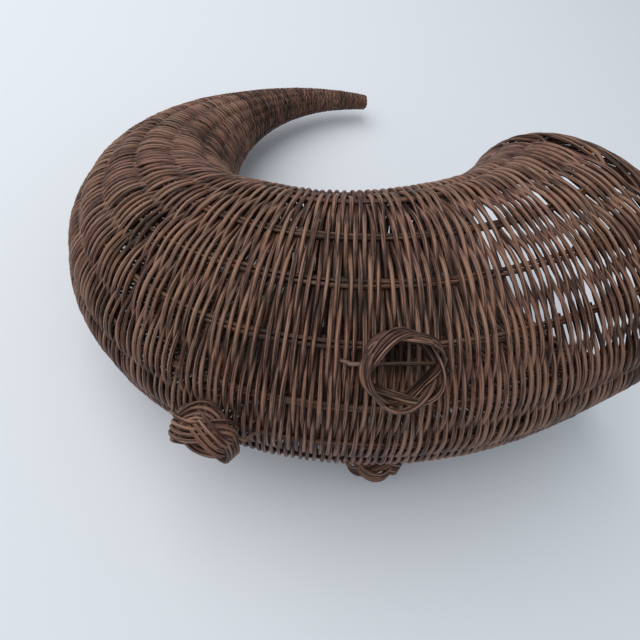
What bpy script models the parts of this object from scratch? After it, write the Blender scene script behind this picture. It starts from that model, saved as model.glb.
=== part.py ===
"""Cornucopia basket: a curved horn of round rods woven on paired stakes, lying on its side.

Metres, +Z up. The horn's line runs from the tail (share 0) to the mouth (share 1). Round the
wall, angles start at the outer side of the bend and turn towards the side that faces up.
"""
import math

import bmesh
import bpy
import numpy as np
from mathutils import Matrix, Vector

# The horn's line and outer radius.
HORN_LENGTH = 0.8844
MOUTH_RADIUS = 0.1345
TAIL_DROP = 0.0703
HEAD_DROP = 0.0160
LOWEST_SHARE = 0.7627
heading_shares = (-169.9, -152.1, -133.9, -117.4, -98.1, -69.9, -34.3, -8.2, 10.9, 28.1, 42.1)
radius_shares = (0.079, 0.139, 0.222, 0.357, 0.510, 0.669, 0.794, 0.840, 0.868, 0.903, 1.0)

# How the plane of the bend lies in the room, and how the mouth is cut, in degrees.
PLANE_TURN = 24.9
PLANE_RISE = 7.6
PLANE_ROLL = -5.3
MOUTH_SLANT_OUT = -11.9
MOUTH_SLANT_UP = -18.8
SLANT_START_SHARE = 0.72

# Rods, and the clearances that keep the pieces apart.
ROD = 0.0032
GAP = 0.0004
BAND_GAP = 0.0012
STAKES = 17
STAKE_SIDES = 6
STAKE_PHASE = 7.0
STAKE_FILL_SHARE = 0.85
SIDES = 2 * STAKES
SLOPE_STEP_SHARE = 0.01

# Pieces along the line, as shares of it.
band_shares = (0.0, 0.10, 0.21, 0.32, 0.43, 0.54, 0.65, 0.76, 0.88, 1.0)
band_stations = (3, 3, 3, 4, 4, 4, 3, 3, 3)
lining_bands = (1, 4, 7, 9)

# Mouth border.
BORDER_RADIUS = 0.0065
BORDER_SIDES = 10

# Ring feet and their lashings.
FOOT_RADIUS = 0.0268
FOOT_WALL = 0.0070
FOOT_BORE = FOOT_RADIUS - FOOT_WALL
FOOT_HEIGHT = 0.0245
REAR_FOOT_HEIGHT = 0.0210
FOOT_SINK = 0.0090
FOOT_CHAMFER = 0.0015
FOOT_SIDES = 24
FOOT_ROOM_SHARE = 0.09
LASH_RADIUS = 0.0014
LASH_HEIGHT = 0.0052
LASH_REACH = 0.036
LASH_DEPTH = 0.0050
LASH_SIDES = 8
LASH_RISE_SHARE = 0.8
foot_names = ("upper_front", "lower_front", "rear")
foot_line_shares = (0.7454, 0.7562, 0.6505)
FOOT_ANGLES = (47.9, -49.7, 10.5)
FOOT_TILTS = ((0.0, 0.0), (0.0, 0.0), (8.0, -6.0))
FOOT_HEIGHTS = (FOOT_HEIGHT, FOOT_HEIGHT, REAR_FOOT_HEIGHT)


def clear_scene():
    for item in list(bpy.data.objects):
        bpy.data.objects.remove(item, do_unlink=True)


def holder_empty():
    """The empty that carries every piece and sets where the basket stands."""
    made = bpy.data.objects.new("basket_holder", None)
    bpy.context.scene.collection.objects.link(made)
    return made


def material(name, colour, roughness):
    made = bpy.data.materials.new(name)
    made.use_nodes = True
    shader = made.node_tree.nodes["Principled BSDF"]
    shader.inputs["Base Color"].default_value = (*colour, 1.0)
    shader.inputs["Roughness"].default_value = roughness
    return made


def along(table, share):
    """A smooth curve through evenly spaced table values."""
    values = np.asarray(table, float)
    place = np.clip(np.asarray(share, float), 0.0, 1.0) * (len(values) - 1)
    k = np.clip(np.floor(place).astype(int), 0, len(values) - 2)
    f = place - k
    slope = np.gradient(values)
    square, cube = f * f, f * f * f
    return (
        (2 * cube - 3 * square + 1) * values[k]
        + (cube - 2 * square + f) * slope[k]
        + (3 * square - 2 * cube) * values[k + 1]
        + (cube - square) * slope[k + 1]
    )


def plane_axes():
    turn, rise, roll = (math.radians(a) for a in (PLANE_TURN, PLANE_RISE, PLANE_ROLL))
    first = np.array((math.cos(rise) * math.cos(turn), math.cos(rise) * math.sin(turn), math.sin(rise)))
    level = np.array((-math.sin(turn), math.cos(turn), 0.0))
    third = np.cross(first, level)
    second = level * math.cos(roll) + third * math.sin(roll)
    return first, second, np.cross(first, second)


FIRST, SECOND, THIRD = plane_axes()
FINE = 401


def horn_line():
    """Points, tangents and outward directions at even shares of the line."""
    share = np.linspace(0.0, 1.0, FINE)
    heading = np.radians(along(heading_shares, share))
    step = np.column_stack((np.cos(heading), np.sin(heading))) * HORN_LENGTH / (FINE - 1)
    flat = np.vstack((np.zeros((1, 2)), np.cumsum((step[1:] + step[:-1]) / 2, axis=0)))
    tail = np.clip((LOWEST_SHARE - share) / LOWEST_SHARE, 0.0, 1.0)
    head = np.clip((share - LOWEST_SHARE) / (1.0 - LOWEST_SHARE), 0.0, 1.0)
    drop = TAIL_DROP * tail ** 2 + HEAD_DROP * head ** 2
    points = flat[:, :1] * FIRST + flat[:, 1:] * SECOND - drop[:, None] * THIRD
    tangent = np.gradient(points, axis=0)
    tangent /= np.linalg.norm(tangent, axis=1)[:, None]
    return share, points, tangent


SHARE, LINE, TANGENT = horn_line()


def station(share):
    """Centre, tangent, outward axis, upward axis and outer radius; the axes lean towards the mouth's cut."""
    centre = np.array([np.interp(share, SHARE, LINE[:, k]) for k in range(3)])
    tangent = np.array([np.interp(share, SHARE, TANGENT[:, k]) for k in range(3)])
    tangent /= np.linalg.norm(tangent)
    outward = np.cross(tangent, THIRD)
    outward /= np.linalg.norm(outward)
    upward = np.cross(outward, tangent)
    lean = min(max((share - SLANT_START_SHARE) / (1.0 - SLANT_START_SHARE), 0.0), 1.0)
    lean = lean * lean * (3.0 - 2.0 * lean)
    out_slant, up_slant = math.radians(MOUTH_SLANT_OUT) * lean, math.radians(MOUTH_SLANT_UP) * lean
    first = outward * math.cos(out_slant) + tangent * math.sin(out_slant)
    second = upward * math.cos(up_slant) + tangent * math.sin(up_slant)
    return centre, tangent, first, second, MOUTH_RADIUS * float(along(radius_shares, share))


def ring(share, inset, count=SIDES, ahead=0.0):
    """Points round the wall at this depth below its outer face, one at each stake and one between."""
    centre, tangent, first, second, radius = station(share)
    normal = np.cross(first, second)
    normal *= math.copysign(1.0, float(normal @ tangent)) / np.linalg.norm(normal)
    angles = math.radians(STAKE_PHASE) + np.arange(count) * math.tau / count
    spoke = np.cos(angles)[:, None] * first + np.sin(angles)[:, None] * second
    return centre + normal * ahead + spoke * (radius - inset)


def object_from(name, mesh_data, look, smooth=True):
    mesh = bpy.data.meshes.new(name)
    mesh_data.to_mesh(mesh)
    mesh_data.free()
    for face in mesh.polygons:
        face.use_smooth = smooth
    mesh.materials.append(look)
    made = bpy.data.objects.new(name, mesh)
    made.parent = holder
    bpy.context.scene.collection.objects.link(made)
    return made


def loft(name, loops, look, closed=False):
    """A solid skin over successive loops of points; the ends are capped, or joined when closed."""
    built = bmesh.new()
    rows = [[built.verts.new(Vector(p)) for p in loop] for loop in loops]
    pairs = list(zip(rows, rows[1:] + rows[:1])) if closed else list(zip(rows, rows[1:]))
    for a, b in pairs:
        for k in range(len(a)):
            n = (k + 1) % len(a)
            built.faces.new((a[k], a[n], b[n], b[k]))
    if not closed:
        built.faces.new(rows[0])
        built.faces.new(rows[-1])
    bmesh.ops.recalc_face_normals(built, faces=built.faces)
    return object_from(name, built, look)


def stretch(first_band, last_band):
    """The stations of these bands, pulled in at both ends by half a gap unless the horn ends there."""
    shares = [
        np.linspace(band_shares[k], band_shares[k + 1], band_stations[k] + 1)[:-1]
        for k in range(first_band, last_band)
    ]
    shares = np.append(np.concatenate(shares), band_shares[last_band])
    trim = BAND_GAP / HORN_LENGTH / 2
    shares[0] += trim if first_band else 0.0
    shares[-1] -= trim if last_band < len(band_stations) else 0.0
    return shares


def shell(name, shares, inset, thickness, look, count=SIDES):
    """A stretch of woven wall as an open tube: outer face out along the line, inner face back."""
    loops = [ring(s, inset, count) for s in shares]
    loops += [ring(s, inset + thickness, count) for s in shares[::-1]]
    return loft(name, loops, look, closed=True)


def wall_bands(look):
    count = len(band_stations)
    return [shell(f"woven_band_{k + 1:02d}", stretch(k, k + 1), 0.0, ROD, look) for k in range(count)]


def linings(look):
    inset = 2 * ROD + 2 * GAP
    for k, (start, end) in enumerate(zip(lining_bands, lining_bands[1:])):
        shell(f"woven_lining_{k + 1}", stretch(start, end), inset, ROD, look, STAKES)


def stake_loop(share, angle):
    """A pair of rods side by side, as one rounded section."""
    centre, tangent, first, second, radius = station(share)
    depth = radius - ROD - GAP - ROD / 2
    spoke = math.cos(angle) * first + math.sin(angle) * second
    side = math.cos(angle) * second - math.sin(angle) * first
    half = min(ROD, STAKE_FILL_SHARE * math.pi * depth / STAKES)
    flat = half - ROD / 2
    loop = []
    for k in range(STAKE_SIDES // 2):
        turn = math.tau / STAKE_SIDES * (k + 0.5) - math.pi / 2
        loop.append((flat + math.cos(turn) * ROD / 2, math.sin(turn) * ROD / 2))
    loop += [(-a, -b) for a, b in loop]
    return [centre + spoke * (depth + b) + side * a for a, b in loop]


def stakes(look):
    shares = stretch(lining_bands[0], len(band_stations))
    for k in range(STAKES):
        angle = math.radians(STAKE_PHASE) + math.tau * k / STAKES
        loft(f"stake_pair_{k + 1:02d}", [stake_loop(s, angle) for s in shares], look)


def tail_core(look):
    """The stakes gathered into one bundle inside the first band, up to where they part."""
    shares = stretch(0, 1)
    shares[-1] = stretch(lining_bands[0], len(band_stations))[0] - GAP / HORN_LENGTH
    loft("tail_core", [ring(s, ROD + GAP) for s in shares], look)


def mouth_border(look):
    """A round roll that closes the end of the wall."""
    middle = ROD + GAP + ROD / 2
    loops = []
    for k in range(BORDER_SIDES):
        turn = math.tau * k / BORDER_SIDES
        ahead = BORDER_RADIUS + GAP + BORDER_RADIUS * math.cos(turn)
        loops.append(ring(1.0, middle - BORDER_RADIUS * math.sin(turn), SIDES, ahead))
    return loft("mouth_border", loops, look, closed=True)


def wall_point(share, angle):
    centre, tangent, first, second, radius = station(share)
    return centre + (math.cos(angle) * first + math.sin(angle) * second) * radius


def foot_axes(share, degrees):
    """Point on the wall's outer face, and the axes of what stands there."""
    angle = math.radians(degrees)
    ahead = wall_point(share + SLOPE_STEP_SHARE, angle) - wall_point(share - SLOPE_STEP_SHARE, angle)
    around = wall_point(share, angle + SLOPE_STEP_SHARE) - wall_point(share, angle - SLOPE_STEP_SHARE)
    ahead /= np.linalg.norm(ahead)
    normal = np.cross(ahead, around)
    normal /= np.linalg.norm(normal)
    if normal @ (wall_point(share, angle) - station(share)[0]) < 0:
        normal = -normal
    return wall_point(share, angle), normal, ahead, np.cross(normal, ahead)


def tilted_axes(share, degrees, tilt):
    """The same axes leaned over, in degrees along the horn and round it, as each ring was tied on by hand."""
    base, normal, ahead, side = foot_axes(share, degrees)
    normal = normal + math.tan(math.radians(tilt[0])) * ahead + math.tan(math.radians(tilt[1])) * side
    normal /= np.linalg.norm(normal)
    ahead = ahead - normal * (ahead @ normal)
    ahead /= np.linalg.norm(ahead)
    return base, normal, ahead, np.cross(normal, ahead)


def foot_ring(name, axes, height, look):
    """A plaited ring as a turned solid, long enough to be trimmed to the wall that it stands on."""
    base, normal, ahead, side = axes
    profile = [
        (FOOT_BORE, -FOOT_SINK),
        (FOOT_RADIUS, -FOOT_SINK),
        (FOOT_RADIUS, height - FOOT_CHAMFER),
        (FOOT_RADIUS - FOOT_CHAMFER, height),
        (FOOT_BORE + FOOT_CHAMFER, height),
        (FOOT_BORE, height - FOOT_CHAMFER),
    ]
    turned = bmesh.new()
    corners = [turned.verts.new((r, 0.0, h)) for r, h in profile]
    edges = [turned.edges.new((a, b)) for a, b in zip(corners, corners[1:] + corners[:1])]
    bmesh.ops.spin(turned, geom=corners + edges, cent=(0.0, 0.0, 0.0), axis=(0.0, 0.0, 1.0),
                   angle=math.tau, steps=FOOT_SIDES, use_merge=True)
    bmesh.ops.recalc_face_normals(turned, faces=turned.faces)
    made = object_from(name, turned, look)
    turn = Matrix((ahead, side, normal)).transposed().to_4x4()
    made.matrix_local = Matrix.Translation(base) @ turn
    return made


def wall_room(name, share, look):
    """All the room inside the wall's outer face near this share, and a gap outside it."""
    stations = np.concatenate([stretch(k, k + 1) for k in range(len(band_stations))])
    near = stations[np.abs(stations - share) < FOOT_ROOM_SHARE]
    return loft(name, [ring(s, -GAP) for s in near], look)


def lash_path(share, degrees):
    """From inside the wall, out beside the ring, through it and back into the wall."""
    base, normal, ahead, side = foot_axes(share, degrees)
    path = [
        (-LASH_REACH, -LASH_DEPTH),
        (-LASH_REACH, 0.0),
        (-(LASH_REACH + FOOT_RADIUS) / 2, LASH_HEIGHT * LASH_RISE_SHARE),
        (-FOOT_RADIUS, LASH_HEIGHT),
    ]
    path += [(-a, h) for a, h in path[::-1]]
    return [base + ahead * a + normal * h for a, h in path], side


def tube(name, path, radius, look):
    """A round rod along a path that bends in one plane."""
    points, side = path
    loops = []
    for k, point in enumerate(points):
        before, after = points[max(k - 1, 0)], points[min(k + 1, len(points) - 1)]
        tangent = (after - before) / np.linalg.norm(after - before)
        up = np.cross(side, tangent)
        turns = np.arange(LASH_SIDES) * math.tau / LASH_SIDES
        loops.append(point + radius * (np.cos(turns)[:, None] * side + np.sin(turns)[:, None] * up))
    return loft(name, loops, look)


def cut(body, cutter):
    bite = body.modifiers.new("cut", "BOOLEAN")
    bite.operation = "DIFFERENCE"
    bite.solver = "EXACT"
    bite.object = cutter
    cutter.hide_render = True
    cutter.display_type = "WIRE"


def feet_and_lashings(ring_look, lash_look):
    """Three ring feet, each tied down by one rod that passes through it and into the wall."""
    reach = (LASH_REACH + LASH_RADIUS + GAP) / HORN_LENGTH
    feet = zip(foot_names, foot_line_shares, FOOT_ANGLES, FOOT_TILTS, FOOT_HEIGHTS)
    for name, share, degrees, tilt, height in feet:
        path = lash_path(share, degrees)
        tube(f"foot_lashing_{name}", path, LASH_RADIUS, lash_look)
        cutter = tube(f"lashing_room_{name}", path, LASH_RADIUS + GAP, lash_look)
        foot = foot_ring(f"foot_ring_{name}", tilted_axes(share, degrees, tilt), height, ring_look)
        cut(foot, wall_room(f"wall_room_{name}", share, ring_look))
        cut(foot, cutter)
        for band, start, end in zip(bands, band_shares, band_shares[1:]):
            if start < share + reach and end > share - reach:
                cut(band, cutter)


def rest_on_origin():
    """Moves the holder so that the box round all pieces stands centred on the origin."""
    bpy.context.view_layer.update()
    corners = np.array([
        made.matrix_world @ v.co
        for made in holder.children if not made.hide_render for v in made.data.vertices
    ])
    low, high = corners.min(axis=0), corners.max(axis=0)
    holder.location = (-(low[0] + high[0]) / 2, -(low[1] + high[1]) / 2, -low[2])


clear_scene()
holder = holder_empty()
weft_look = material("weft rod", (0.115, 0.066, 0.046), 0.55)
lining_look = material("inner weft rod", (0.070, 0.040, 0.029), 0.65)
stake_look = material("stake rod", (0.085, 0.050, 0.036), 0.60)
core_look = material("gathered stake ends", (0.095, 0.060, 0.044), 0.70)
border_look = material("border rod", (0.125, 0.072, 0.050), 0.50)
foot_look = material("plaited foot rod", (0.130, 0.078, 0.056), 0.50)
lash_look = material("lashing rod", (0.135, 0.080, 0.057), 0.50)

bands = wall_bands(weft_look)
linings(lining_look)
stakes(stake_look)
tail_core(core_look)
mouth_border(border_look)
feet_and_lashings(foot_look, lash_look)
rest_on_origin()
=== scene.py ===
import math

import bpy
import numpy as np
from mathutils import Matrix, Vector


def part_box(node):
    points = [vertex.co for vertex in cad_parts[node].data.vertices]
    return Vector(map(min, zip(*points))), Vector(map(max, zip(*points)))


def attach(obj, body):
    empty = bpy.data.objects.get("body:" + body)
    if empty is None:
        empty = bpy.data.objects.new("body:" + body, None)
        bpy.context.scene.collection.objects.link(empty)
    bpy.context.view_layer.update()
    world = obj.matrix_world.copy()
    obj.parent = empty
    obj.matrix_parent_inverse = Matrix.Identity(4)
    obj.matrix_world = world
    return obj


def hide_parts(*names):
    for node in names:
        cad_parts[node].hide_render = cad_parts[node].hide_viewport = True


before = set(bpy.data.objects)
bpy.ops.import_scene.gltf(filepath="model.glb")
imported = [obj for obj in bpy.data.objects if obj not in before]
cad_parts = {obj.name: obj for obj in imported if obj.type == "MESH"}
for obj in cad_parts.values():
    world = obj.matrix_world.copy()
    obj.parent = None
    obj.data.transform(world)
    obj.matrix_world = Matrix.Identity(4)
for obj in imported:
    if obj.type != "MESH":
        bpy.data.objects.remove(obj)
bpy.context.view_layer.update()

# The wall of the horn. Its line curls from a thin tail to a wide mouth, and the wall is round about
# that line; every rod below is laid out on it by a share of the line, an angle and a depth.
HORN_LENGTH = 0.8844
MOUTH_RADIUS = 0.1345
TAIL_DROP = 0.0703
HEAD_DROP = 0.0160
LOWEST_SHARE = 0.7627
heading_shares = (-169.9, -152.1, -133.9, -117.4, -98.1, -69.9, -34.3, -8.2, 10.9, 28.1, 42.1)
radius_shares = (0.079, 0.139, 0.222, 0.357, 0.510, 0.669, 0.794, 0.840, 0.868, 0.903, 1.0)
PLANE_TURN = 24.9
PLANE_RISE = 7.6
PLANE_ROLL = -5.3
MOUTH_SLANT_OUT = -11.9
MOUTH_SLANT_UP = -18.8
SLANT_START_SHARE = 0.72
STAKES = 17
STAKE_PHASE = 7.0
FIRST_BAND_SHARE = 0.10
BAND_GAP = 0.0012
FINE = 801


def along(table, share):
    """A smooth curve through evenly spaced table values."""
    values = np.asarray(table, float)
    place = np.clip(np.asarray(share, float), 0.0, 1.0) * (len(values) - 1)
    k = np.clip(np.floor(place).astype(int), 0, len(values) - 2)
    f = place - k
    slope = np.gradient(values)
    square, cube = f * f, f * f * f
    return (
        (2 * cube - 3 * square + 1) * values[k]
        + (cube - 2 * square + f) * slope[k]
        + (3 * square - 2 * cube) * values[k + 1]
        + (cube - square) * slope[k + 1]
    )


def plane_axes():
    """The two axes of the flat drawing of the line, and the axis square to them."""
    turn, rise, roll = (math.radians(a) for a in (PLANE_TURN, PLANE_RISE, PLANE_ROLL))
    ahead = np.array((math.cos(turn), math.sin(turn), 0.0))
    first = ahead * math.cos(rise) + np.array((0.0, 0.0, math.sin(rise)))
    level = np.array((-math.sin(turn), math.cos(turn), 0.0))
    third = np.cross(first, level)
    second = level * math.cos(roll) + third * math.sin(roll)
    return first, second, np.cross(first, second)


def unit(rows):
    return rows / np.linalg.norm(rows, axis=-1, keepdims=True)


def horn():
    """Centre, outward axis, upward axis and outer radius at even shares of the line."""
    first, second, third = plane_axes()
    share = np.linspace(0.0, 1.0, FINE)
    heading = np.radians(along(heading_shares, share))
    step = np.column_stack((np.cos(heading), np.sin(heading))) * HORN_LENGTH / (FINE - 1)
    flat = np.vstack((np.zeros((1, 2)), np.cumsum((step[1:] + step[:-1]) / 2, axis=0)))
    tail = np.clip((LOWEST_SHARE - share) / LOWEST_SHARE, 0.0, 1.0)
    head = np.clip((share - LOWEST_SHARE) / (1.0 - LOWEST_SHARE), 0.0, 1.0)
    drop = TAIL_DROP * tail ** 2 + HEAD_DROP * head ** 2
    line = flat[:, :1] * first + flat[:, 1:] * second - drop[:, None] * third
    tangent = unit(np.gradient(line, axis=0))
    outward = unit(np.cross(tangent, third))
    upward = np.cross(outward, tangent)
    lean = np.clip((share - SLANT_START_SHARE) / (1.0 - SLANT_START_SHARE), 0.0, 1.0)
    lean = (lean * lean * (3.0 - 2.0 * lean))[:, None]
    out_slant, up_slant = math.radians(MOUTH_SLANT_OUT) * lean, math.radians(MOUTH_SLANT_UP) * lean
    outward = outward * np.cos(out_slant) + tangent * np.sin(out_slant)
    upward = upward * np.cos(up_slant) + tangent * np.sin(up_slant)
    return share, line, outward, upward, MOUTH_RADIUS * along(radius_shares, share)


SHARE, LINE, OUTWARD, UPWARD, RADIUS = horn()


def at(table, share):
    """Rows of a table over the line's shares, read at any share."""
    if table.ndim == 1:
        return np.interp(share, SHARE, table)
    return np.stack([np.interp(share, SHARE, table[:, k]) for k in range(3)], axis=-1)


def wall(share, angle, depth=0.0):
    """Points this deep under the wall's outer face; shares past the ends run straight on."""
    share, angle = np.broadcast_arrays(np.asarray(share, float), np.asarray(angle, float))
    out, up = np.cos(angle)[..., None], np.sin(angle)[..., None]
    spoke = out * at(OUTWARD, share) + up * at(UPWARD, share)
    past = (share - np.clip(share, 0.0, 1.0))[..., None] * HORN_LENGTH
    at_mouth, at_tail = unit(np.cross(UPWARD[-1], OUTWARD[-1])), unit(LINE[1] - LINE[0])
    run_on = past * np.where(past > 0.0, at_mouth, at_tail)
    return at(LINE, share) + run_on + spoke * (at(RADIUS, share) - depth)[..., None]


corner_shares = np.linspace(0.0, FIRST_BAND_SHARE, 4)
corner_shares[-1] -= BAND_GAP / HORN_LENGTH / 2
corner_angles = np.radians(STAKE_PHASE) + np.arange(2 * STAKES) * math.tau / (2 * STAKES)
first_band = wall(corner_shares[:, None], corner_angles[None, :])
SHIFT = np.array(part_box("woven_band_01")[0]) - first_band.reshape(-1, 3).min(axis=0)
LINE = LINE + SHIFT

# Stakes. Pairs of round rods run side by side from the tail to the mouth; the whole wall is woven
# on them. They are steamed, bent round the curl, and thin out where they gather in the tail.
ROD = 0.0032
weft_girths = (0.78, 0.85, 0.92, 0.95, 0.95, 0.95, 0.95, 0.97, 1.03, 1.05, 1.05)
ROD_SIDES = 8
STAKE_POINTS = 220
STAKE_START_SHARE = 0.004
STAKE_ROOM_SHARE = 0.20
STAKE_DRIFT = 0.25
SIDEWAYS_DRIFT_SHARE = 0.4
DEPTH_DRIFT_SHARE = 0.3
SNUG = 1.02
rod_girths = (0.93, 1.03)
stake_tones = (0.2, 0.8)
stake_nudges = (0.7, 0.6, 2.4, 2.2, -0.4, 2.4, 1.0, -1.2, 0.8,
                -1.6, 0.4, 1.5, -0.9, -1.8, 0.9, 1.4, -0.6)
chance = np.random.default_rng(41)


def swell(low, high, value):
    """0 below low, 1 above high, and a smooth step between."""
    x = np.clip((value - low) / (high - low), 0.0, 1.0)
    return x * x * (3.0 - 2.0 * x)


def weft_radius(share):
    return ROD / 2 * along(weft_girths, share)


def stake_radius(share):
    room = math.tau * (at(RADIUS, share) - 3 * weft_radius(share)) / STAKES
    return np.minimum(ROD / 2, room * STAKE_ROOM_SHARE)


def stake_depth(share):
    """The stakes' middle line lies one weft rod and half a stake below the outer face."""
    return 2 * weft_radius(share) + stake_radius(share)


class Nodes:
    """A node tree being built: add() puts in a node, sets it, feeds it and returns its output."""

    def __init__(self, tree):
        self.tree = tree

    def add(self, kind, settings=None, out=0, **feeds):
        node = self.tree.nodes.new(kind)
        for key, value in (settings or {}).items():
            if key == "stops":
                for stop, (place, colour) in zip(node.color_ramp.elements, value):
                    stop.position, stop.color = place, colour
            else:
                setattr(node, key, value)
        for key, value in feeds.items():
            socket = node.inputs[int(key[1:]) if key[1:].isdigit() else key.replace("_", " ")]
            source = value.socket if isinstance(value, Value) else value
            if isinstance(source, bpy.types.NodeSocket):
                self.tree.links.new(source, socket)
            else:
                socket.default_value = source
        return Value(self, node.outputs[out]) if len(node.outputs) else node


class Value:
    """One output socket; sums and products of these add Math nodes."""

    def __init__(self, nodes, socket):
        self.nodes, self.socket = nodes, socket

    def other(self, name):
        return Value(self.nodes, self.socket.node.outputs[name])

    def math(self, operation, *others):
        feeds = {f"_{k}": v for k, v in enumerate((self, *others))}
        return self.nodes.add("ShaderNodeMath", {"operation": operation}, **feeds)

    def __add__(self, other):
        return self.math("ADD", other)

    def __sub__(self, other):
        return self.math("SUBTRACT", other)

    def __rsub__(self, other):
        return self.nodes.add("ShaderNodeMath", {"operation": "SUBTRACT"}, _0=other, _1=self)

    def __mul__(self, other):
        return self.math("MULTIPLY", other)

    __radd__, __rmul__ = __add__, __mul__


def rod_tree():
    """Sweeps a round rod along every chain of edges, and stores places on it for the grain."""
    tree = bpy.data.node_groups.new("rods along lines", "GeometryNodeTree")
    ports = tree.interface
    ports.new_socket("Geometry", in_out="INPUT", socket_type="NodeSocketGeometry")
    ports.new_socket("Sides", in_out="INPUT", socket_type="NodeSocketInt")
    ports.new_socket("Thickness", in_out="INPUT", socket_type="NodeSocketFloat")
    ports.new_socket("Material", in_out="INPUT", socket_type="NodeSocketMaterial")
    ports.new_socket("Geometry", in_out="OUTPUT", socket_type="NodeSocketGeometry")
    n = Nodes(tree)
    given = n.add("NodeGroupInput")
    curve = n.add("GeometryNodeMeshToCurve", Mesh=given)
    girth = n.add("GeometryNodeInputNamedAttribute", {"data_type": "FLOAT"}, Name="girth")
    girth = girth * given.other("Thickness")
    number = n.add("GeometryNodeInputNamedAttribute", {"data_type": "FLOAT"}, Name="number")
    run = n.add("GeometryNodeSplineParameter").other("Length") + number
    curve = n.add("GeometryNodeStoreNamedAttribute", {"data_type": "FLOAT", "domain": "POINT"},
                  Geometry=curve, Name="run", Value=run)
    circle = n.add("GeometryNodeCurvePrimitiveCircle", Resolution=given.other("Sides"), Radius=1.0)
    vector = {"data_type": "FLOAT_VECTOR", "domain": "POINT"}
    circle = n.add("GeometryNodeStoreNamedAttribute", vector,
                   Geometry=circle, Name="across", Value=n.add("GeometryNodeInputPosition"))
    rods = n.add("GeometryNodeCurveToMesh", Curve=curve, Profile_Curve=circle, Scale=girth,
                 Fill_Caps=True)
    across = n.add("GeometryNodeInputNamedAttribute", {"data_type": "FLOAT_VECTOR"}, Name="across")
    parts = n.add("ShaderNodeSeparateXYZ", Vector=across)
    run = n.add("GeometryNodeInputNamedAttribute", {"data_type": "FLOAT"}, Name="run")
    grain = n.add("ShaderNodeCombineXYZ", X=parts * given.other("Thickness"),
                  Y=parts.other("Y") * given.other("Thickness"), Z=run)
    rods = n.add("GeometryNodeStoreNamedAttribute", vector,
                 Geometry=rods, Name="grain", Value=grain)
    rods = n.add("GeometryNodeRemoveAttribute", Geometry=rods, Name="across")
    rods = n.add("GeometryNodeSetShadeSmooth", Geometry=rods, Shade_Smooth=True)
    rods = n.add("GeometryNodeRealizeInstances", Geometry=rods)
    rods = n.add("GeometryNodeSetMaterial", Geometry=rods, Material=given.other("Material"))
    n.add("NodeGroupOutput", Geometry=rods)
    return tree


ROD_TREE = rod_tree()


def lay_rods(name, paths, look, nodes, thickness=ROD / 2):
    """Makes one piece of rods; a path is (points, girth in shares of the thickness, tone)."""
    points = np.concatenate([p for p, _, _ in paths])
    counts = np.array([len(p) for p, _, _ in paths])
    starts = np.concatenate(([0], np.cumsum(counts)[:-1]))
    index = np.arange(len(points))
    keep = np.ones(len(points), bool)
    keep[starts + counts - 1] = False
    mesh = bpy.data.meshes.new(name)
    mesh.from_pydata(points, np.column_stack((index[keep], index[keep] + 1)), [])
    girths = np.concatenate([np.broadcast_to(g, len(p)) for p, g, _ in paths])
    tones = np.concatenate([np.broadcast_to(t, len(p)) for p, _, t in paths])
    numbers = np.repeat(np.arange(len(paths), dtype=float), counts)
    for label, values in (("girth", girths), ("tone", tones), ("number", numbers)):
        layer = mesh.attributes.new(label, "FLOAT", "POINT")
        layer.data.foreach_set("value", values.astype(np.float32))
    guide = bpy.data.objects.new(name + "_lines", mesh)
    bpy.context.scene.collection.objects.link(guide)
    sweep = guide.modifiers.new("rods", "NODES")
    sweep.node_group = ROD_TREE
    ports = ROD_TREE.interface.items_tree
    inputs = {port.name: port.identifier for port in ports if port.in_out == "INPUT"}
    sweep[inputs["Sides"]] = ROD_SIDES
    sweep[inputs["Thickness"]] = thickness
    sweep[inputs["Material"]] = look
    swept = guide.evaluated_get(bpy.context.evaluated_depsgraph_get())
    made = bpy.data.objects.new(name, bpy.data.meshes.new_from_object(swept))
    bpy.context.scene.collection.objects.link(made)
    bpy.data.objects.remove(guide, do_unlink=True)
    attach(made, "root")
    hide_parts(*nodes)


DARK_AT, MIDDLE_AT, LIGHT_AT = 0.18, 0.52, 0.82
GRAIN_DEPTH = 0.0004
SHINE = 0.35


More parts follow.
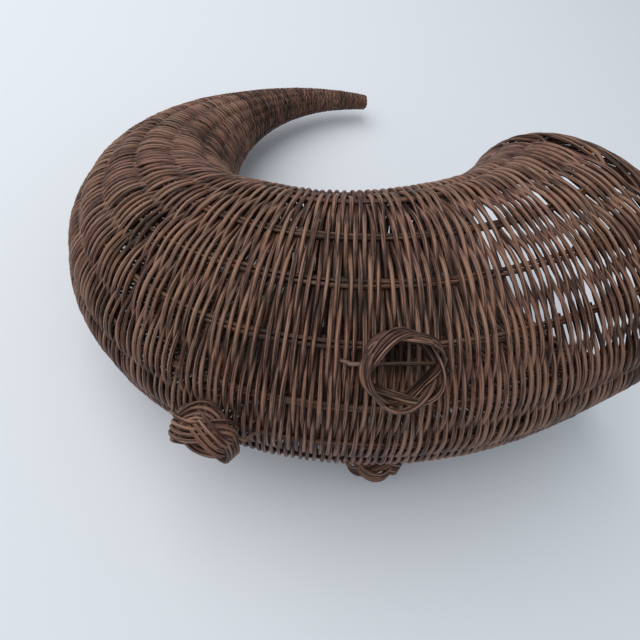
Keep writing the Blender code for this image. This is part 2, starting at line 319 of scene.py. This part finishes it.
def reed(name, dark, middle, light):
    """Stained reed: each rod's own tone, fine grain and uneven stain; the weft's tone adds painted
    light and shade.
    """
    look = bpy.data.materials.new(name)
    look.use_nodes = True
    n = Nodes(look.node_tree)
    shader = look.node_tree.nodes["Principled BSDF"]
    grain_at = n.add("ShaderNodeAttribute", {"attribute_name": "grain"}, out="Vector")
    tone = n.add("ShaderNodeAttribute", {"attribute_name": "tone"}, out="Fac")
    place = n.add("ShaderNodeTexCoord", out="Object")
    stretched = n.add("ShaderNodeVectorMath", {"operation": "MULTIPLY"},
                      _0=grain_at, _1=(1.0, 1.0, 0.03))
    streaks = n.add("ShaderNodeTexNoise", Vector=stretched, Scale=1150.0, Detail=3.0,
                    Roughness=0.65)
    blotches = n.add("ShaderNodeTexNoise", Vector=place, Scale=70.0, Detail=4.0, Roughness=0.65)
    cloud = n.add("ShaderNodeTexNoise", Vector=place, Scale=11.0, Detail=2.0)
    level = tone * 0.75 + streaks * 3.40 + blotches * 0.80 + cloud * 0.50 - 2.25
    stops = ((DARK_AT, (*dark, 1.0)), (LIGHT_AT, (*light, 1.0)))
    colour = n.add("ShaderNodeValToRGB", {"stops": stops}, Fac=level)
    colour.socket.node.color_ramp.elements.new(MIDDLE_AT).color = (*middle, 1.0)
    stain = n.add("ShaderNodeTexNoise", Vector=place, Scale=16.0, Detail=3.0, Roughness=0.6)
    colour = n.add("ShaderNodeHueSaturation", Color=colour,
                   Hue=stain * 0.05 + 0.473, Saturation=blotches * 0.8 + 0.68)
    look.node_tree.links.new(colour.socket, shader.inputs["Base Color"])
    rough = streaks * 0.25 + 0.45
    look.node_tree.links.new(rough.socket, shader.inputs["Roughness"])
    bump = n.add("ShaderNodeBump", Strength=0.35, Distance=GRAIN_DEPTH, Height=streaks)
    look.node_tree.links.new(bump.socket, shader.inputs["Normal"])
    shader.inputs["Specular IOR Level"].default_value = SHINE
    return look


stake_look = reed("stake reed", (0.016, 0.006, 0.003), (0.078, 0.037, 0.024), (0.170, 0.098, 0.068))
stake_angles = np.radians(STAKE_PHASE + np.arange(STAKES) * 360.0 / STAKES + np.array(stake_nudges))


def stake_side(share, angle, side):
    """One rod of a pair: set off sideways by its own radius, and closer in the tail."""
    reach = at(RADIUS, share) - stake_depth(share)
    return angle + side * stake_radius(share) * SNUG / reach


for k in range(STAKES):
    share = np.linspace(STAKE_START_SHARE, 1.0, STAKE_POINTS)
    pair = []
    for side in (-1.0, 1.0):
        drift = STAKE_DRIFT * along(chance.normal(0.0, 1.0, 24), share) * ROD
        angle = stake_side(share, stake_angles[k], side)
        angle = angle + drift / at(RADIUS, share) * SIDEWAYS_DRIFT_SHARE
        points = wall(share, angle, stake_depth(share) + drift * DEPTH_DRIFT_SHARE)
        girth = stake_radius(share) / (ROD / 2) * chance.uniform(*rod_girths)
        pair.append((points, girth, chance.uniform(*stake_tones)))
    lay_rods(f"stakes_{k + 1:02d}", pair, stake_look, [f"stake_pair_{k + 1:02d}"])

# Weft. Single round rods are woven over one stake pair and under the next, row against row. Where
# the outer side of the bend is longer, short rows turn back round a stake to keep the rows level.
WEFT_STEP = 0.0052
steps_a_stake = (4, 8)
SHORT_REACH = 0.0050
SHORTEST = 3
NO_COLUMNS = (1, 0)
TURN_ROOM = 1.6
TURN_POINTS = 7
ROD_LENGTHS = (1.1, 2.3)
OUTSIDE_ENDS_SHARE = 0.2
EVEN_PASSES = 160
ROW_WANDER = 0.00055
WANDER_PASSES = 3
FLAT_TOP = 0.8
BEATEN_FLATTER = 0.50
BEATEN_THICKER = 0.20
GIRTH_WANDER = 0.05
MIDDLE_TONE = 0.5
TONE_SPREAD = 0.13
TONE_WANDER = 0.06
# Painted light and shade: on the body, but not in the tail, the weft is painted lighter where it
# passes outside a stake pair and darker where it passes inside.
PAINTED_CROSSING_SHADE = 0.26
LOOSE_ANGLE = 38.0
TAIL_SHARES = (0.08, 0.42)
weft_uneven_girths = (0.90, 1.08)
weft_bulges = (0.86, 0.98)
pitch_shares = (0.72, 0.76, 0.84, 0.88, 0.88, 0.86, 0.82, 0.84, 0.92, 0.93, 0.95)
band_shares = (0.0, 0.10, 0.21, 0.32, 0.43, 0.54, 0.65, 0.76, 0.88, 1.0)
column_order = np.argsort((np.arange(STAKES) - (STAKES // 2 + 1)) % STAKES)
column_angles = np.unwrap(stake_angles[column_order] - math.tau)


def bit_share(number):
    """A whole number's binary digits mirrored behind the point: 1 gives 1/2, 2 gives 1/4."""
    value, part = 0.0, 0.5
    while number:
        value += part * (number & 1)
        number >>= 1
        part /= 2
    return value


def side_of(row, column):
    """1 where a row passes outside a stake pair, and -1 where it passes inside."""
    return 1.0 if (row + column) % 2 == 0 else -1.0


def row_reach(span, row):
    """First and last column of a row. The free end of a short row is always behind a stake."""
    low, high = span
    if span in ((0, STAKES - 1), NO_COLUMNS):
        return span
    if row // 2 % 2:
        return low, high - (side_of(row, high) > 0)
    return low + (side_of(row, low) > 0), high


def row_plan():
    """The columns that each pair of rows spans, and each row's share of the line by column."""
    steps = np.gradient(wall(SHARE[:, None], column_angles[None, :]), axis=0)
    forward = np.einsum("ijk,ik->ij", steps, np.gradient(LINE, axis=0)) > 0
    reach = np.where(forward, np.linalg.norm(steps, axis=-1), 0.0) + 1e-6
    row_height = ROD * along(pitch_shares, SHARE)
    widest = reach.max(axis=1)
    count = np.concatenate(([0.0], np.cumsum((widest / row_height)[1:])))
    pairs = int(count[-1] // 2)
    home = np.interp(2.0 * np.arange(pairs) + 1.0, count, SHARE)
    spans = []
    for m in range(pairs):
        fraction = [np.interp(home[m], SHARE, reach[:, j] / widest) for j in range(STAKES)]
        active = np.array(fraction) >= bit_share(m)
        low = high = int(np.argmax(fraction))
        while low > 0 and active[low - 1]:
            low -= 1
        while high < STAKES - 1 and active[high + 1]:
            high += 1
        spans.append((low, high) if high - low >= SHORTEST else NO_COLUMNS)
    places = np.full((2 * pairs, STAKES), np.nan)
    reaches = [row_reach(spans[row // 2], row) for row in range(2 * pairs)]
    for j in range(STAKES):
        rows = [row for row, (low, high) in enumerate(reaches) if low <= j <= high]
        there = np.interp(np.array(rows) + 0.5, count, SHARE)
        for _ in range(EVEN_PASSES):
            padded = np.concatenate(([2 * there[0] - there[1]], there, [2 * there[-1] - there[-2]]))
            there = (padded[:-2] + 2 * padded[1:-1] + padded[2:]) / 4
        there = there + np.gradient(there) * ((j + 0.5) / STAKES - 0.5)
        edge = ROD / 2 / HORN_LENGTH
        places[rows, j] = edge + (there - there[0]) / (there[-1] - there[0]) * (1.0 - 2 * edge)
    return spans, places


spans, places = row_plan()
jitter = chance.normal(0.0, ROW_WANDER, places.shape) / HORN_LENGTH
for _ in range(WANDER_PASSES):
    jitter = (np.roll(jitter, 1, axis=1) + jitter + np.roll(jitter, -1, axis=1)) / 3


def weave(rows, columns, first_side, lead, trail):
    """One stretch of rod, which reaches this far past its first and its last stake."""
    turns = np.concatenate(([0], np.cumsum(np.diff(columns) < 0)))
    angles = column_angles[columns] + math.tau * turns
    shares = places[rows, columns] + jitter[rows, columns]
    last = len(columns) - 1
    spacing = at(RADIUS, shares.mean()) * math.tau / STAKES
    steps = int(np.clip(spacing / WEFT_STEP, *steps_a_stake))
    before = np.linspace(-lead / spacing, 0.0, 3)[:-1]
    after = last + np.linspace(0.0, trail / spacing, 3)[1:]
    t = np.concatenate((before, np.linspace(0.0, last, last * steps + 1), after))
    past = np.minimum(t, 0.0) + np.maximum(t - last, 0.0)
    angle = np.interp(t, np.arange(len(columns)), angles) + past * math.tau / STAKES
    return along(shares, t / last), angle, first_side * np.cos(math.pi * t)


def beaten(share, angle):
    """How tightly the rods lie together: 0 on the body's upper face, 1 below and in the tail."""
    upper = (1.0 + np.cos(angle - math.radians(LOOSE_ANGLE))) / 2
    return 1.0 - upper * swell(*TAIL_SHARES, share)


def rod_path(share, angle, over, bulge):
    """Lays a stretch on the wall: over 1 passes outside the stakes, and -1 inside them."""
    lift = np.sign(over) * np.abs(over) ** FLAT_TOP * (stake_radius(share) + weft_radius(share))
    lift = lift * bulge * (1.0 - BEATEN_FLATTER * beaten(share, angle))
    return wall(share, angle, stake_depth(share) - lift)


def turn_back(share_a, share_b, angle, side, way):
    """Round the outer flank of a stake, from its one face to the other."""
    share = np.linspace(share_a, share_b, TURN_POINTS)[1:-1]
    turn = np.linspace(0.0, math.pi, TURN_POINTS)[1:-1]
    reach = TURN_ROOM * (2 * stake_radius(share) + weft_radius(share)) / at(RADIUS, share)
    return share, angle + way * reach * np.sin(turn), side * np.cos(turn)


def weft_paths():
    """All rods of the wall as (share at the start, path)."""
    made = []

    def keep(share, angle, over):
        run = np.linspace(0.0, 1.0, len(share))
        girth = weft_radius(share) / (ROD / 2) * chance.uniform(*weft_uneven_girths)
        girth = girth * (1.0 + BEATEN_THICKER * beaten(share, angle))
        girth = girth * (1.0 + GIRTH_WANDER * along(chance.normal(0.0, 1.0, 12), run))
        points = rod_path(share, angle, over, chance.uniform(*weft_bulges))
        tone = chance.normal(MIDDLE_TONE, TONE_SPREAD)
        tone = tone + TONE_WANDER * along(chance.normal(0.0, 1.0, 8), run)
        # Painted light and shade: a lighter tone on the outer crossings and a darker one where the
        # rod passes inside the stakes.
        tone = tone + PAINTED_CROSSING_SHADE * over * swell(*TAIL_SHARES, share)
        made.append((float(share[0]), (points, girth, np.clip(tone, 0.0, 1.0))))

    trail = []
    for m, (low, high) in enumerate(spans):
        if (low, high) == (0, STAKES - 1):
            trail += [(row, column) for row in (2 * m, 2 * m + 1) for column in range(STAKES)]
            continue
        if (low, high) == NO_COLUMNS:
            continue
        both = []
        for row in (2 * m, 2 * m + 1):
            first, last = row_reach((low, high), row)
            columns = np.arange(first, last + 1)
            ends = (0.0, SHORT_REACH) if m % 2 else (SHORT_REACH, 0.0)
            both.append(weave(np.full(len(columns), row), columns, side_of(row, first), *ends))
        ahead, back = both
        if m % 2:
            ahead = tuple(part[::-1] for part in ahead)
            turn = turn_back(ahead[0][-1], back[0][0], column_angles[low], ahead[2][-1], -1.0)
        else:
            back = tuple(part[::-1] for part in back)
            turn = turn_back(ahead[0][-1], back[0][0], column_angles[high], ahead[2][-1], 1.0)
        keep(*(np.concatenate(parts) for parts in zip(ahead, turn, back)))
    start = 0
    while start < len(trail) - 2:
        length, stop = 0.0, start + 1
        wanted = chance.uniform(*ROD_LENGTHS)
        face = 1.0 if chance.uniform() < OUTSIDE_ENDS_SHARE else -1.0
        while stop < len(trail) - 1 and (length < wanted or side_of(*trail[stop]) != face):
            length += at(RADIUS, places[trail[stop]]) * math.tau / STAKES
            stop += 1
        rows, columns = np.array(trail[start:stop + 1]).T
        keep(*weave(rows, columns, side_of(rows[0], columns[0]), SHORT_REACH, SHORT_REACH))
        start = stop
    return made


weft_look = reed("weft reed", (0.019, 0.008, 0.005), (0.111, 0.054, 0.038), (0.276, 0.167, 0.124))
all_weft = weft_paths()
lined = {1: ["woven_lining_1"], 4: ["woven_lining_2"], 7: ["woven_lining_3"]}
for k in range(len(band_shares) - 1):
    paths = [path for share, path in all_weft if band_shares[k] <= share < band_shares[k + 1]]
    lay_rods(f"weft_{k + 1:02d}", paths, weft_look,
             [f"woven_band_{k + 1:02d}"] + lined.get(k, []))

# Tail end. The stakes are gathered in one bundle of reed and cut off square, and the last rows of
# thin weft bind it.
CORE_ROD = 0.0017
CORE_SHARE = 0.10
CORE_POINTS = 22
CORE_SPREAD = 2.0
core_rings = ((0, 1), (1, 6), (2, 11))
core_ends = (-0.0012, 0.0006)
core_girths = (0.85, 1.05)
core_tones = (0.2, 0.9)
core_look = reed("cut stake ends", (0.040, 0.023, 0.018), (0.120, 0.073, 0.056),
                 (0.230, 0.155, 0.120))


def core_paths():
    """One rod in the middle and two rings of rods round it, which spread a little inwards."""
    paths = []
    share = np.linspace(0.0, CORE_SHARE, CORE_POINTS)
    for ring, count in core_rings:
        for k in range(count):
            angle = math.tau * (k + 0.5 * (ring % 2)) / count
            out = ring * 2 * CORE_ROD * (1.0 + CORE_SPREAD * share)
            start = chance.uniform(*core_ends) / HORN_LENGTH
            points = wall(np.where(share == 0.0, start, share), angle, at(RADIUS, share) - out)
            paths.append((points, chance.uniform(*core_girths), chance.uniform(*core_tones)))
    return paths


lay_rods("tail_bundle", core_paths(), core_look, ["tail_core"], thickness=CORE_ROD)

# Mouth border. The stakes are bent over at the mouth and laid round it like a rope, each pair
# running past the next four and ending on the inside.
BORDER_RADIUS = 0.0065
BORDER_REACH = 4.4
BORDER_POINTS = 46
BORDER_TURN_SHARE = 0.94
BORDER_GROW_SHARE = 0.10
LANE_TURN = 0.62
LANE_ANGLE = 0.020
BORDER_GAP = 0.0004
border_tones = (0.25, 0.75)
border_look = reed("border reed", (0.026, 0.012, 0.008), (0.125, 0.066, 0.046),
                   (0.272, 0.167, 0.120))


def border_paths():
    """Two rods a stake pair, each once round the roll while it runs past the next four pairs."""
    paths = []
    middle = 1.5 * ROD + BORDER_GAP
    coil = BORDER_RADIUS - ROD / 2
    t = np.linspace(0.0, 1.0, BORDER_POINTS)
    grow = swell(0.0, BORDER_GROW_SHARE, t)
    behind = (1.0 - grow) * (BORDER_RADIUS + ROD)
    for start in stake_angles:
        for lane in (-0.5, 0.5):
            angle = start + t * BORDER_REACH * math.tau / STAKES + lane * LANE_ANGLE
            turn = math.pi - t * math.tau * BORDER_TURN_SHARE + lane * LANE_TURN
            ahead = BORDER_RADIUS + coil * np.cos(turn) * grow - behind
            points = wall(1.0 + ahead / HORN_LENGTH, angle, middle - coil * np.sin(turn) * grow)
            paths.append((points, chance.uniform(*rod_girths), chance.uniform(*border_tones)))
    return paths


lay_rods("border_rope", border_paths(), border_look, ["mouth_border"])

# Ring feet. Each is a Turk's head plaited from a band of four thin rods that goes round three
# times, over and under itself, and stands on the wall as a short open tube, wider at its rim.
FOOT_RADIUS = 0.0268
FOOT_BORE = 0.0198
FOOT_LEADS = 3
FOOT_LANES = 4
FOOT_BIGHTS = 5
FOOT_FAN = 0.6
FOOT_WEAVE = 0.60
FOOT_DRAWN_IN = 0.0009
FOOT_POINTS = 330
SLOPE_STEP = 0.01
PATCH = 0.030
PATCH_POINTS = 9
GAP = 0.0004
plait_girths = (0.95, 1.03)
plait_tones = (0.25, 0.8)
PLAIT_TONE_WANDER = 0.12
feet = {
    "upper_front": dict(share=0.7454, degrees=47.3, tilt=(8.0, -7.0), height=0.0245,
                        rod=0.0024, phase=55.0, over=1.0, flare=0.25),
    "lower_front": dict(share=0.7562, degrees=-49.7, tilt=(0.0, 0.0), height=0.0262,
                        rod=0.0027, phase=86.0, over=-1.0, flare=0.12),
    "rear": dict(share=0.6495, degrees=9.0, tilt=(0.0, -18.0), height=0.0225,
                 rod=0.0027, phase=43.0, over=-1.0, flare=0.12),
}
foot_look = reed("plaited reed", (0.017, 0.007, 0.005), (0.100, 0.050, 0.036),
                 (0.276, 0.166, 0.120))


def foot_axes(share, degrees, tilt=(0.0, 0.0)):
    """A point on the wall's outer face, and the axes of what stands there, leaned by the tilt."""
    angle = math.radians(degrees)
    ahead = unit(wall(share + SLOPE_STEP, angle) - wall(share - SLOPE_STEP, angle))
    around = wall(share, angle + SLOPE_STEP) - wall(share, angle - SLOPE_STEP)
    normal = unit(np.cross(ahead, around))
    base = wall(share, angle)
    if normal @ (base - at(LINE, share)) < 0:
        normal = -normal
    side = np.cross(normal, ahead)
    along_lean, round_lean = (math.tan(math.radians(lean)) for lean in tilt)
    normal = unit(normal + along_lean * ahead + round_lean * side)
    ahead = unit(ahead - normal * (ahead @ normal))
    return base, normal, ahead, np.cross(normal, ahead)


def bowl(a, b):
    """The terms of a curved floor, at places a ahead and b to the side."""
    return np.stack((np.ones_like(a), a, b, a * a, a * b, b * b), axis=-1)


def ground(share, degrees, axes):
    """How the wall falls away below a foot: the factors of bowl() for its height there."""
    base, normal, ahead, side = axes
    spread = np.linspace(-PATCH, PATCH, PATCH_POINTS)
    angles = math.radians(degrees) + spread / at(RADIUS, share)
    near = wall(share + spread[:, None] / HORN_LENGTH, angles[None, :])
    near = near.reshape(-1, 3) - base
    return np.linalg.lstsq(bowl(near @ ahead, near @ side), near @ normal, rcond=None)[0]


def foot_paths(share, degrees, tilt, height, rod, phase, over, flare):
    """The lanes of one plait: three times round, and five times up to the rim and down."""
    axes = foot_axes(share, degrees, tilt)
    base, normal, ahead, side = axes
    fall = ground(share, degrees, axes)
    middle = (FOOT_RADIUS + FOOT_BORE) / 2 - FOOT_DRAWN_IN
    wave = (height - FOOT_LANES * rod) / 2
    t = np.linspace(0.0, math.tau, FOOT_POINTS)
    run, up = middle * FOOT_LEADS, -wave * FOOT_BIGHTS * np.sin(FOOT_BIGHTS * t)
    length = np.hypot(run, up)
    rim = (1.0 + np.cos(FOOT_BIGHTS * t)) / 2
    paths = []
    for lane in np.arange(FOOT_LANES) - (FOOT_LANES - 1) / 2:
        offset = lane * rod * SNUG
        turn = math.radians(phase) - FOOT_LEADS * t + offset * up / length / middle
        rise = height / 2 + wave * np.cos(FOOT_BIGHTS * t) + offset * run / length
        out = middle + over * FOOT_WEAVE * rod * np.sin(2 * FOOT_BIGHTS * t)
        out = out - FOOT_FAN * offset * rim + flare * (rise - height / 2)
        a, b = out * np.cos(turn), out * np.sin(turn)
        low = bowl(a, b) @ fall
        rise = low + GAP + rise * (height - low) / height
        points = base + a[:, None] * ahead + b[:, None] * side + rise[:, None] * normal
        tone = chance.uniform(*plait_tones)
        tone = tone + PLAIT_TONE_WANDER * along(chance.normal(0.0, 1.0, 24), t / math.tau)
        paths.append((points, chance.uniform(*plait_girths), np.clip(tone, 0.0, 1.0)))
    return paths


for foot, build in feet.items():
    lay_rods(f"plaited_foot_{foot}", foot_paths(**build), foot_look,
             [f"foot_ring_{foot}"], thickness=build["rod"] / 2)

# Lashings. One thin rod comes out of the wall, passes through its ring foot low down and goes back
# into the wall on the other side, which ties the foot on.
LASH_RADIUS = 0.0014
LASH_HEIGHT = 0.0052
LASH_REACH = 0.034
LASH_DEPTH = 0.0050
LASH_POINTS = 60
LASH_TONE = 0.7
lash_rises = (-1.0, -0.35, 0.45, 0.95, 1.05)
lash_look = reed("lashing reed", (0.026, 0.014, 0.010), (0.092, 0.053, 0.040),
                 (0.200, 0.128, 0.096))
for foot, build in feet.items():
    base, normal, ahead, side = foot_axes(build["share"], build["degrees"])
    out = np.append(np.linspace(LASH_REACH, FOOT_RADIUS, 4), 0.0)
    rise = np.array([x * (LASH_HEIGHT if x > 0.0 else LASH_DEPTH) for x in lash_rises])
    t = np.linspace(0.0, 1.0, LASH_POINTS)
    reach = along(np.append(-out, out[-2::-1]), t)
    height = along(np.append(rise, rise[-2::-1]), t)
    points = base + reach[:, None] * ahead + height[:, None] * normal
    lay_rods(f"lashing_{foot}", [(points, 1.0, LASH_TONE)], lash_look,
             [f"foot_lashing_{foot}"], thickness=LASH_RADIUS)

# Floor, light and camera. The basket lies on a pale floor under one broad soft lamp, like an
# overcast sky, and is seen from where the photograph was taken.
FLOOR_SIZE = 8.0
floor_look = bpy.data.materials.new("pale floor")
floor_look.use_nodes = True
floor_shader = floor_look.node_tree.nodes["Principled BSDF"]
floor_shader.inputs["Base Color"].default_value = (0.77, 0.815, 0.885, 1.0)
floor_shader.inputs["Roughness"].default_value = 0.9
bpy.ops.mesh.primitive_plane_add(size=FLOOR_SIZE, location=(0.0, 0.0, 0.0))
floor = bpy.context.object
floor.name = "floor"
floor.data.materials.append(floor_look)

world = bpy.context.scene.world or bpy.data.worlds.new("sky")
bpy.context.scene.world = world
world.use_nodes = True
sky = world.node_tree.nodes["Background"]
sky.inputs["Color"].default_value = (0.90, 0.95, 1.0, 1.0)
sky.inputs["Strength"].default_value = 0.44


def lamp(name, place, target, size, power, colour):
    data = bpy.data.lights.new(name, "AREA")
    data.shape, data.size, data.energy, data.color = "DISK", size, power, colour
    made = bpy.data.objects.new(name, data)
    bpy.context.scene.collection.objects.link(made)
    aim = Vector(target) - Vector(place)
    turn = aim.to_track_quat("-Z", "Y").to_matrix().to_4x4()
    made.matrix_world = Matrix.Translation(place) @ turn


lamp("overcast", (-1.25, -0.15, 2.15), (-0.1, 0.0, 0.0), 3.2, 53.0, (1.0, 0.97, 0.92))
bpy.context.scene.view_settings.view_transform = "Standard"

CAMERA_PLACE = (0.0985, -0.6243, 0.3910)
CAMERA_RIGHT = (0.9028, 0.3809, 0.1996)
CAMERA_UP = (-0.4297, 0.7831, 0.4496)
SENSOR_WIDTH = 36.0
NEAR = 0.01
PICTURE = 640
FOCAL_PIXELS = 487
SHIFT_PIXELS = 1.0
camera = bpy.data.cameras.new("camera")
camera.sensor_width = SENSOR_WIDTH
camera.lens = SENSOR_WIDTH * FOCAL_PIXELS / PICTURE
camera.shift_x = camera.shift_y = SHIFT_PIXELS / PICTURE
camera.clip_start = NEAR
right, up = np.array(CAMERA_RIGHT), np.array(CAMERA_UP)
back = unit(np.cross(right, up))
up = unit(np.cross(back, right))
stand = bpy.data.objects.new("camera", camera)
turn = Matrix((unit(right), up, back)).transposed().to_4x4()
stand.matrix_world = Matrix.Translation(SHIFT + np.array(CAMERA_PLACE)) @ turn
bpy.context.scene.collection.objects.link(stand)
bpy.context.scene.camera = stand
